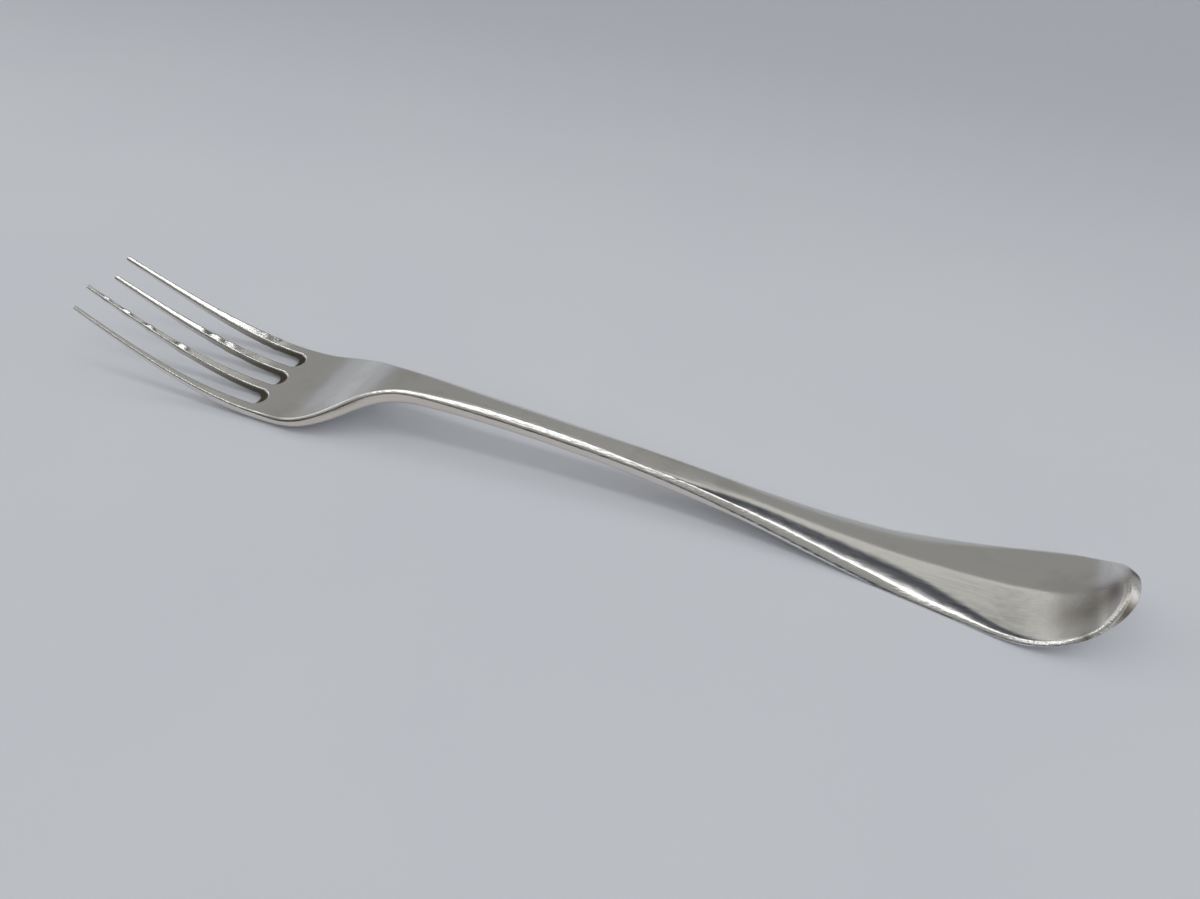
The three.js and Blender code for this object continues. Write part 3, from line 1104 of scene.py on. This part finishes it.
class Plan:
    """The fork's front or back face, laid out flat as a grid that runs round the slots.

    Rows run along the fork and columns across it. Each tine has its own columns, and between two
    tines come the columns that start on the round end of their slot.
    """

    TINE_COLUMNS = 8
    SLOT_COLUMNS = 12
    TIP_ROWS = 5
    TINE_STEP = 0.6
    ROOT_ROWS = 10
    BODY_STEP = 0.6
    END_ROWS = 26
    ROOT_MARGIN = 3.0

    def __init__(self, form: ForkForm, inset: Curve, slot_stop: float) -> None:
        """Lays out the points and faces.

        Args:
            form: the fork's curves.
            inset: how far inside the fork's outline the grid's edge runs.
            slot_stop: station where the slots' sides turn into their round ends.
        """
        self.form = form
        self.inset = inset
        self.slot_stop = slot_stop
        self.points: list[tuple[float, float]] = []
        self.faces: list[tuple[int, ...]] = []
        roots = [self._tine(tine) for tine in range(len(TINE_ZONES))]
        self._body(self._root_row(roots))

    def _add(self, station: float, across: float) -> int:
        """Adds a point and gives its number."""
        self.points.append((float(station), float(across)))
        return len(self.points) - 1

    def _quads(self, before: list[int], after: list[int]) -> None:
        """Joins two neighbouring rows of points by faces.

        Args:
            before: point numbers of the row nearer the tips.
            after: those of the next row.
        """
        for a, b, c, d in zip(before, after, after[1:], before[1:], strict=False):
            self.faces.append((a, b, c, d))

    def _tine_span(self, station: float, tine: int) -> tuple[float, float]:
        """Finds the sides of one tine, inside its rounded edges.

        Args:
            station: distance from the tine tips.
            tine: the tine's number, from the near side.

        Returns:
            Near and far side, as distances from the middle line.
        """
        tines = self.form.tines
        middle = float(tines.lanes()[tine] * tines.pitch(station))
        half = tines.half_width(station, tine) - float(self.inset.value(station))
        near, far = middle - half, middle + half
        if station > self.form.at["root"] and tine == 0:
            near = -self._half(station)
        if station > self.form.at["root"] and tine == len(TINE_ZONES) - 1:
            far = self._half(station)
        return near, far

    def _tine(self, tine: int) -> list[int]:
        """Lays out one tine from its rounded tip to the end of its slots' straight sides.

        Args:
            tine: the tine's number, from the near side.

        Returns:
            Point numbers of its last row.
        """
        tines = self.form.tines
        centre = tines.worn_off[tine] + tines.tip_width / 2
        near, far = self._tine_span(centre, tine)
        middle, round_half = (near + far) / 2, (far - near) / 2
        turns = [math.pi / 2 * k / self.TIP_ROWS for k in range(1, self.TIP_ROWS + 1)]
        rows = []
        for turn in turns:
            half = round_half * math.sin(turn)
            rows.append((centre - round_half * math.cos(turn), middle - half, middle + half))
        cut = self.slot_stop - tines.slot_scoop
        for start, stop in ((centre, cut), (cut, self.slot_stop)):
            count = round((tines.length if stop == cut else tines.slot_scoop) / self.TINE_STEP)
            rows += [(s, *self._tine_span(s, tine)) for s in np.linspace(start, stop, count + 1)[1:]]
        apex = self._add(centre - round_half, middle)
        before = None
        for station, near, far in rows:
            after = [self._add(station, across) for across in np.linspace(near, far, self.TINE_COLUMNS + 1)]
            if before is None:
                self.faces += [(apex, b, c) for b, c in zip(after, after[1:])]
            else:
                self._quads(before, after)
            before = after
        return before

    def _root_row(self, roots: list[list[int]]) -> list[int]:
        """Joins the tines' last rows by the round ends of the slots.

        Args:
            roots: point numbers of each tine's last row.

        Returns:
            Point numbers right across the head's first row.
        """
        tines = self.form.tines
        radius = tines.slot_width / 2 + float(self.inset.value(self.slot_stop))
        row = list(roots[0])
        for slot, following in enumerate(roots[1:]):
            middle = (tines.lanes()[slot] + tines.lanes()[slot + 1]) / 2 * tines.root_pitch
            for k in range(1, self.SLOT_COLUMNS):
                turn = math.pi * k / self.SLOT_COLUMNS
                row.append(self._add(self.slot_stop + radius * math.sin(turn),
                                     middle - radius * math.cos(turn)))
            row += following
        return row

    def _half(self, station: float) -> float:
        """Half width of the grid behind the tines, up to the widest place of the handle."""
        return float(self.form.curves["half_width"].value(station) - self.inset.value(station))

    def _body(self, row: list[int]) -> None:
        """Lays out everything behind the slots, up to the rounded handle end.

        Args:
            row: point numbers of the head's first row.
        """
        at, handle = self.form.at, self.form.handle
        first = at["slot_stop"] + self.form.tines.slot_width / 2 + self.ROOT_MARGIN
        starts = [self.points[i] for i in row]
        spread = [across / self._half(station) for station, across in starts]
        spread = [u / max(spread) for u in spread]
        before = row
        for k in range(1, self.ROOT_ROWS + 1):
            way = k / self.ROOT_ROWS
            stations = [start * (1 - way) + first * way for start, _ in starts]
            after = [self._add(s, u * self._half(s)) for s, u in zip(stations, spread, strict=True)]
            self._quads(before, after)
            before = after
        cuts = [first, at["neck"], at["crest"], at["handle"], at["widest"]]
        rows = []
        for start, stop in zip(cuts, cuts[1:]):
            count = round((stop - start) / self.BODY_STEP)
            rows += [(s, self._half(s)) for s in np.linspace(start, stop, count + 1)[1:]]
        inset = float(self.inset.value(at["end"]))
        widest = self._half(at["widest"])
        reach = handle.widest_to_end - inset
        power = 2 / handle.end_fullness
        for k in range(1, self.END_ROWS):
            turn = math.pi / 2 * k / self.END_ROWS
            rows.append((at["widest"] + reach * math.sin(turn) ** power, widest * math.cos(turn) ** power))
        for station, half in rows:
            after = [self._add(station, u * half) for u in spread]
            self._quads(before, after)
            before = after
        apex = self._add(at["widest"] + reach, 0.0)
        self.faces += [(a, apex, d) for a, d in zip(before, before[1:])]

    def rim(self) -> list[int]:
        """Follows the grid's edge once round, the grid on its left.

        Returns:
            Point numbers in order.
        """
        sides = {(a, b) for face in self.faces for a, b in zip(face, (*face[1:], face[0]))}
        following = {a: b for a, b in sides if (b, a) not in sides}
        start = min(following)
        loop = [start]
        while following[loop[-1]] != start:
            loop.append(following[loop[-1]])
        return loop


class Ring(NamedTuple):
    """Points of the skin: their places in the plan, their heights, wear and shares of the side wall."""

    station: np.ndarray
    across: np.ndarray
    out: np.ndarray
    wear: np.ndarray
    wall: np.ndarray


class Skin:
    """The whole skin of the fork in one net of faces, from which the zones are cut out."""

    ROUND_STEPS = 9
    # Points of the fine profile that the front edge's steps are picked from.
    PROFILE_POINTS = 181
    # A bevelled edge has an eased upper corner, the bevel and a steeper lower corner: the shares
    # of its girth where each of these starts and stops, and the lower corner's slopes in degrees.
    BEVEL_SHARES = (0.0, 0.12, 0.68, 0.76, 0.95, 1.0)
    CORNER_HIGH = 52.0
    CORNER_LOW = 68.0
    # Least height of the side wall between the front edge and the back.
    LEAST_WALL = 0.2
    # Most of the room under the front edge that the back's rounding takes.
    MOST_RISE = 0.8

    def __init__(self, form: ForkForm) -> None:
        """Wraps the front, the rounded edges, the sides and the back.

        Args:
            form: the fork's curves.
        """
        self.form = form
        curves = form.curves
        front = Plan(form, curves["front_round"], form.at["slot_stop"])
        back = Plan(form, curves["back_round"], form.at["root"])
        self.loop = front.rim()
        station, across = np.array(front.points).T
        out = form.front_height(station, across)
        wear = np.maximum(curves["face_wear"].value(station), 0)
        rings = [Ring(station, across, out, wear, np.zeros(len(out)))]
        rings += self._front_edge(front, out)
        rings += self._back_edge(back, rings[-1].out)
        station, across = np.array(back.points).T
        plain = np.zeros(len(back.points))
        rings.append(Ring(station, across, form.back_height(station, across), plain, plain))
        self.station, self.across, self.out, wear, wall = (np.concatenate(part) for part in zip(*rings))
        # The end marks and the slots' grime are partly painted shade, and the wall marks are painted shade.
        tarnish_and_shade_marks = sum(mark.weight(self.station, self.across) for mark in form.handle.tarnish_and_shade_marks)
        wall_shade_marks = sum(mark.weight(self.station, self.across) for mark in form.handle.wall_shade_marks)
        self.used = {
            Layer.WORN: wear,
            Layer.STAINED_AND_SHADED: np.where(self.out > form.back_height(self.station, self.across) / 2, tarnish_and_shade_marks, 0),
            Layer.GRIMY_AND_SHADED: wall * (form.tines.grime_and_shade_share(self.station, self.across) + wall_shade_marks),
            Layer.TANNED: wall * np.maximum(curves["side_tan"].value(self.station), 0),
        }
        self.out += form.tines.turn(self.station, self.across)
        self.positions = form.place(self.station, self.across, self.out)
        self._join(front, back)
        self.normals = self._smooth_normals()

    def _rim_normals(self, plan: Plan) -> np.ndarray:
        """Directions straight out of the outline, in the plan.

        Args:
            plan: the front or back grid.

        Returns:
            One unit vector, along and across, for each point of the rim.
        """
        points = np.array(plan.points)[self.loop]
        step = np.roll(points, -1, axis=0) - points
        step /= np.linalg.norm(step, axis=1, keepdims=True)
        mean = step + np.roll(step, 1, axis=0)
        mean /= np.linalg.norm(mean, axis=1, keepdims=True)
        return np.stack([mean[:, 1], -mean[:, 0]], axis=1)

    def _edge_profile(self, station: np.ndarray) -> tuple[np.ndarray, np.ndarray]:
        """Shape of the front edge: a plain round, or a bevel with eased corners where it is crisp.

        Args:
            station: stations of the rim's points.

        Returns:
            Way outwards and downwards at each step, as shares of the edge's width.
        """
        curves = self.form.curves
        fine = np.linspace(0, 1, self.PROFILE_POINTS)[:, None]
        crispness = np.clip(curves["crispness"].value(station), 0, 1)
        first = np.arctan(np.maximum(curves["shoulder_slope"].value(station), 0))
        angles = [first, np.radians(curves["bevel_high"].value(station)),
                  np.radians(curves["bevel_low"].value(station)),
                  math.radians(self.CORNER_HIGH), math.radians(self.CORNER_LOW), math.pi / 2]
        bevel = first
        for k, (start, stop) in enumerate(zip(self.BEVEL_SHARES, self.BEVEL_SHARES[1:])):
            bevel = bevel + (angles[k + 1] - angles[k]) * np.clip((fine - start) / (stop - start), 0, 1)
        plain = first + (math.pi / 2 - first) * fine
        turn = plain * (1 - crispness) + bevel * crispness
        wide = np.cumsum(np.cos(turn), axis=0)
        deep = np.cumsum(np.sin(turn), axis=0)
        reach = wide[-1] - wide[0]
        picked = np.linspace(0, len(fine) - 1, self.ROUND_STEPS + 1).astype(int)[1:]
        return ((wide - wide[0]) / reach)[picked], ((deep - deep[0]) / reach)[picked]

    def _front_edge(self, plan: Plan, out: np.ndarray) -> list[Ring]:
        """Rings from the front face's edge to the side wall.

        Args:
            plan: the front grid.
            out: heights of the front grid's points.

        Returns:
            The rings, from the face to the wall.
        """
        curves = self.form.curves
        station, across = np.array(plan.points)[self.loop].T
        along, aside = self._rim_normals(plan).T
        width = curves["front_round"].value(station)
        wear = curves["edge_wear"].value(station)
        wide, deep = self._edge_profile(station)
        back = self.form.back_height(station + along * width, across + aside * width)
        depth = np.minimum(width, (out[self.loop] - back - self.LEAST_WALL) / deep[-1])
        rings = []
        for w, d in zip(wide, deep, strict=True):
            rings.append(Ring(station + along * width * w, across + aside * width * w,
                              out[self.loop] - depth * d, wear, (d / deep[-1]) ** 2))
        return rings

    def _back_edge(self, plan: Plan, foot: np.ndarray) -> list[Ring]:
        """Rings from the side wall to the back face's edge.

        Args:
            plan: the back grid.
            foot: heights of the front edge's last ring, which the back edge stays under.

        Returns:
            The rings, from the wall to the face.
        """
        curves = self.form.curves
        station, across = np.array(plan.points)[self.loop].T
        along, aside = self._rim_normals(plan).T
        wear = curves["edge_wear"].value(station)
        width = curves["back_round"].value(station)
        room = foot - self.form.back_height(station + along * width, across + aside * width)
        rise = np.minimum(curves["back_rise"].value(station), self.MOST_RISE * room)
        rings = []
        for k in range(self.ROUND_STEPS):
            turn = math.pi / 2 * k / self.ROUND_STEPS
            reach = width * math.cos(turn)
            ring_station, ring_across = station + along * reach, across + aside * reach
            height = self.form.back_height(ring_station, ring_across) + rise * (1 - math.sin(turn))
            wall = np.full(len(self.loop), math.cos(turn))
            rings.append(Ring(ring_station, ring_across, height, wear, wall))
        return rings

    def _join(self, front: Plan, back: Plan) -> None:
        """Numbers the faces of the net and notes each face's zone.

        Args:
            front: grid of the front face.
            back: grid of the back face, with the same faces.
        """
        rim = len(self.loop)
        back_first = len(front.points) + 2 * self.ROUND_STEPS * rim
        rings = [np.array(self.loop)]
        rings += [len(front.points) + k * rim + np.arange(rim) for k in range(2 * self.ROUND_STEPS)]
        rings.append(back_first + np.array(self.loop))
        plan = np.array(front.points)
        self.faces = list(front.faces)
        self.zones = [self.form.zone(*plan[list(face)].mean(axis=0)) for face in front.faces]
        self.faces += [tuple(back_first + i for i in reversed(face)) for face in back.faces]
        self.zones += self.zones
        for i in range(rim):
            j = (i + 1) % rim
            zone = self.form.zone(*plan[[self.loop[i], self.loop[j]]].mean(axis=0))
            for inner, outer in zip(rings, rings[1:]):
                self.faces.append((inner[j], inner[i], outer[i], outer[j]))
                self.zones.append(zone)

    def _smooth_normals(self) -> np.ndarray:
        """Directions straight out of the skin, shared by all zones so that no cut shows.

        Returns:
            One unit vector for each point.
        """
        mesh = bpy.data.meshes.new("whole_skin")
        mesh.from_pydata(self.positions.tolist(), [], [tuple(map(int, face)) for face in self.faces])
        normals = np.zeros(len(self.positions) * 3)
        mesh.vertex_normals.foreach_get("vector", normals)
        bpy.data.meshes.remove(mesh)
        return normals.reshape(-1, 3)

    def cut_out(self, zone: Zone) -> bpy.types.Object:
        """Makes a closed piece of one zone.

        Args:
            zone: zone to make.

        Returns:
            The new object, named for the zone.
        """
        faces = [face for face, owner in zip(self.faces, self.zones, strict=True) if owner is zone]
        caps = self._caps(faces)
        used = sorted({int(i) for face in faces for i in face})
        number = {old: new for new, old in enumerate(used)}
        mesh = bpy.data.meshes.new(f"silver_{zone.value}")
        mesh.from_pydata(self.positions[used].tolist(), [],
                         [tuple(number[int(i)] for i in face) for face in faces + caps])
        mesh.shade_smooth()
        for layer, share in self.used.items():
            attribute = mesh.attributes.new(layer.value, "FLOAT", "POINT")
            attribute.data.foreach_set("value", share[used].astype(np.float32))
        normals = [self.normals[i] for face in faces for i in face]
        for cap, polygon in zip(caps, mesh.polygons[len(faces):], strict=True):
            normals += [np.array(polygon.normal)] * len(cap)
        mesh.normals_split_custom_set(normals)
        piece = bpy.data.objects.new(mesh.name, mesh)
        bpy.context.scene.collection.objects.link(piece)
        return piece

    @staticmethod
    def _caps(faces: list[tuple[int, ...]]) -> list[tuple[int, ...]]:
        """Finds the flat ends that close a cut-out zone.

        Args:
            faces: the zone's faces.

        Returns:
            One face for each open end.
        """
        sides = {(a, b) for face in faces for a, b in zip(face, (*face[1:], face[0]))}
        following = {b: a for a, b in sides if (b, a) not in sides}
        caps = []
        while following:
            loop = [min(following)]
            while following[loop[-1]] != loop[0]:
                loop.append(following[loop[-1]])
            for i in loop:
                del following[i]
            caps.append(tuple(loop))
        return caps


@dataclass(frozen=True)
class Softbox:
    """A large diffused lamp that faces down. Sizes are in metres, glow is its brightness.

    A lamp that is not mirrored does not show in glossy surfaces, so it only fills the shadows. One that
    casts nothing lights no matt surface, so it only shows as a reflection.
    """

    name: str
    place: tuple[float, float, float]
    width: float
    height: float
    glow: float
    mirrored: bool = True
    casts: bool = True
    colour: str = "FFFFFF"

    def hang(self) -> None:
        """Hangs the lamp over the table."""
        lamp = bpy.data.lights.new(self.name, "AREA")
        lamp.shape = "RECTANGLE"
        lamp.size, lamp.size_y = self.width, self.height
        lamp.energy = self.glow * math.pi * self.width * self.height
        lamp.color = srgb(self.colour)[:3]
        holder = bpy.data.objects.new(self.name, lamp)
        holder.location = self.place
        holder.visible_glossy = self.mirrored
        holder.visible_diffuse = self.casts
        bpy.context.scene.collection.objects.link(holder)


@dataclass(frozen=True)
class Band:
    """A colour of the room that sets in between two places along one part of a unit direction."""

    start: float
    stop: float
    colour: str = "FFFFFF"

    def share(self, tree: bpy.types.NodeTree, along: bpy.types.NodeSocket) -> bpy.types.NodeSocket:
        """How far the band has set in.

        Args:
            tree: node tree of the room.
            along: the part of the direction that the band goes by.

        Returns:
            Socket that goes from 0 at the start to 1 at the stop.
        """
        return add_node(tree, "ShaderNodeMapRange", {"interpolation_type": "SMOOTHSTEP"}, {
            "Value": along, "From Min": self.start, "From Max": self.stop,
        }).outputs["Result"]


@dataclass(frozen=True)
class Studio:
    """Pale table, soft light and the camera at the photo's viewing angle. Sizes are in metres."""

    table_size: float = 4.0
    focus: tuple[float, float, float] = (0.0083, 0.00736, 0.0)
    camera_azimuth: float = 22.39
    camera_elevation: float = 41.94
    camera_distance: float = 0.19494
    # The lens and the sensor are in millimetres, as Blender takes them.
    lens: float = 30.0
    sensor: float = 36.0
    clip_start: float = 0.005
    # The far wall by height: cornice, skirting below, dark ceiling. The near side is dark below.
    far_wall: str = "91918F"
    far_bands: tuple[Band, ...] = (
        Band(0.735, 0.79, "CDCCC8"),
        Band(0.30, 0.12, "A9ABB0"),
        Band(0.875, 0.91, "363B45"),
    )
    near_wall: str = "2E2E2E"
    near_bands: tuple[Band, ...] = (Band(0.40, 0.56, "959593"),)
    near_to_far: Band = Band(-0.12, 0.15)
    # A window lights the fork from both ends of the room: its bounds sideways, in height and in depth.
    window: str = "F4F4F4"
    window_glow: float = 1.4
    window_shift: float = 0.2
    window_bounds: tuple[Band, ...] = (Band(0.50, 0.70), Band(0.20, 0.40), Band(0.58, 0.40))
    # The panel's light is parted, so that it is white in the silver and its shadows stay soft.
    softboxes: tuple[Softbox, ...] = (
        Softbox("ceiling panel", (-0.0975, -0.06, 1.0), 1.695, 0.16, 1.7),
        Softbox("panel sheen", (-0.0975, -0.06, 1.001), 1.695, 0.16, 0.9, casts=False),
        Softbox("shadow fill", (0.0, 0.0, 1.5), 2.0, 2.0, 0.17, mirrored=False),
    )

    @staticmethod
    def direction(azimuth: float, elevation: float) -> Vector:
        """Unit vector towards a place round the fork; azimuth 0 is the near side, 90 the handle end."""
        a, e = math.radians(azimuth), math.radians(elevation)
        return Vector((math.sin(a) * math.cos(e), -math.cos(a) * math.cos(e), math.sin(e)))

    def lay_table(self, card: bpy.types.Material) -> None:
        """Puts the plain table top under the fork.

        Args:
            card: finish of the table top.
        """
        side = self.table_size / 2
        mesh = bpy.data.meshes.new("table_top")
        mesh.from_pydata([(-side, -side, 0), (side, -side, 0), (side, side, 0), (-side, side, 0)],
                         [], [(0, 1, 2, 3)])
        mesh.materials.append(card)
        table = bpy.data.objects.new("table_top", mesh)
        bpy.context.scene.collection.objects.link(table)

    def light(self) -> None:
        """Hangs the softboxes and sets the dim room round them."""
        for box in self.softboxes:
            box.hang()
        world = bpy.data.worlds.new("dim_room")
        world.use_nodes = True
        tree = world.node_tree
        tree.nodes.clear()
        towards = add_node(tree, "ShaderNodeTexCoord").outputs["Generated"]
        parted = add_node(tree, "ShaderNodeSeparateXYZ", inputs={"Vector": towards})
        pane = [channel * self.window_glow for channel in srgb(self.window)[:3]]
        tint = add_node(tree, "ShaderNodeMix", {"data_type": "RGBA"}, {
            MIX_SHARE: self._opening(tree, parted),
            COLOUR_A: self._walls(tree, parted),
            COLOUR_B: (*pane, 1.0),
        }).outputs[COLOUR_OUT]
        glow = add_node(tree, "ShaderNodeBackground", inputs={"Color": tint, "Strength": 1.0})
        add_node(tree, "ShaderNodeOutputWorld", inputs={"Surface": glow.outputs["Background"]})
        bpy.context.scene.world = world
        bpy.context.scene.view_settings.view_transform = "Standard"

    def _walls(self, tree: bpy.types.NodeTree, parted: bpy.types.Node) -> bpy.types.NodeSocket:
        """Colours the near and far side of the room by height, and joins them.

        Args:
            tree: node tree of the room.
            parted: node with the direction's three parts.

        Returns:
            Socket with the colour of the room.
        """
        walls = []
        for tint, bands in ((srgb(self.near_wall), self.near_bands), (srgb(self.far_wall), self.far_bands)):
            for band in bands:
                tint = add_node(tree, "ShaderNodeMix", {"data_type": "RGBA"}, {
                    MIX_SHARE: band.share(tree, parted.outputs["Z"]),
                    COLOUR_A: tint,
                    COLOUR_B: srgb(band.colour),
                }).outputs[COLOUR_OUT]
            walls.append(tint)
        return add_node(tree, "ShaderNodeMix", {"data_type": "RGBA"}, {
            MIX_SHARE: self.near_to_far.share(tree, parted.outputs["Y"]),
            COLOUR_A: walls[0],
            COLOUR_B: walls[1],
        }).outputs[COLOUR_OUT]

    def _opening(self, tree: bpy.types.NodeTree, parted: bpy.types.Node) -> bpy.types.NodeSocket:
        """Opens the window at both ends of the room.

        Args:
            tree: node tree of the room.
            parted: node with the direction's three parts.

        Returns:
            Socket that is 1 inside the window and 0 outside it.
        """
        shifted = add_node(tree, "ShaderNodeMath", {"operation": "ADD"}, {
            0: parted.outputs["X"], 1: self.window_shift,
        }).outputs["Value"]
        sideways = add_node(tree, "ShaderNodeMath", {"operation": "ABSOLUTE"}, {0: shifted}).outputs["Value"]
        opening = 1.0
        ways = (sideways, parted.outputs["Z"], parted.outputs["Y"])
        for bound, along in zip(self.window_bounds, ways, strict=True):
            opening = add_node(tree, "ShaderNodeMath", {"operation": "MULTIPLY"}, {
                0: opening, 1: bound.share(tree, along),
            }).outputs["Value"]
        return opening

    def set_camera(self) -> None:
        """Stands the camera where the photo was taken from."""
        lens = bpy.data.cameras.new("photo_camera")
        lens.lens, lens.sensor_width = self.lens, self.sensor
        lens.clip_start = self.clip_start
        camera = bpy.data.objects.new("photo_camera", lens)
        back = self.direction(self.camera_azimuth, self.camera_elevation)
        camera.location = Vector(self.focus) + back * self.camera_distance
        camera.rotation_euler = back.to_track_quat("Z", "Y").to_euler()
        bpy.context.scene.collection.objects.link(camera)
        bpy.context.scene.camera = camera


def main() -> None:
    """Builds the fork zone by zone, sets the studio, and logs each piece's number of faces."""
    logging.basicConfig(level=logging.INFO, format="%(name)s %(message)s")
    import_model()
    studio = Studio()
    studio.set_camera()
    parts = (Tines(), Head(), Neck(), Stem(), Handle())
    skin = Skin(ForkForm(*parts))
    silver = WornSilver().material()
    for part in parts:
        part.dress(part.build(skin), silver)
    studio.lay_table(PaleCard().material())
    studio.light()


if __name__ == "__main__":
    main()
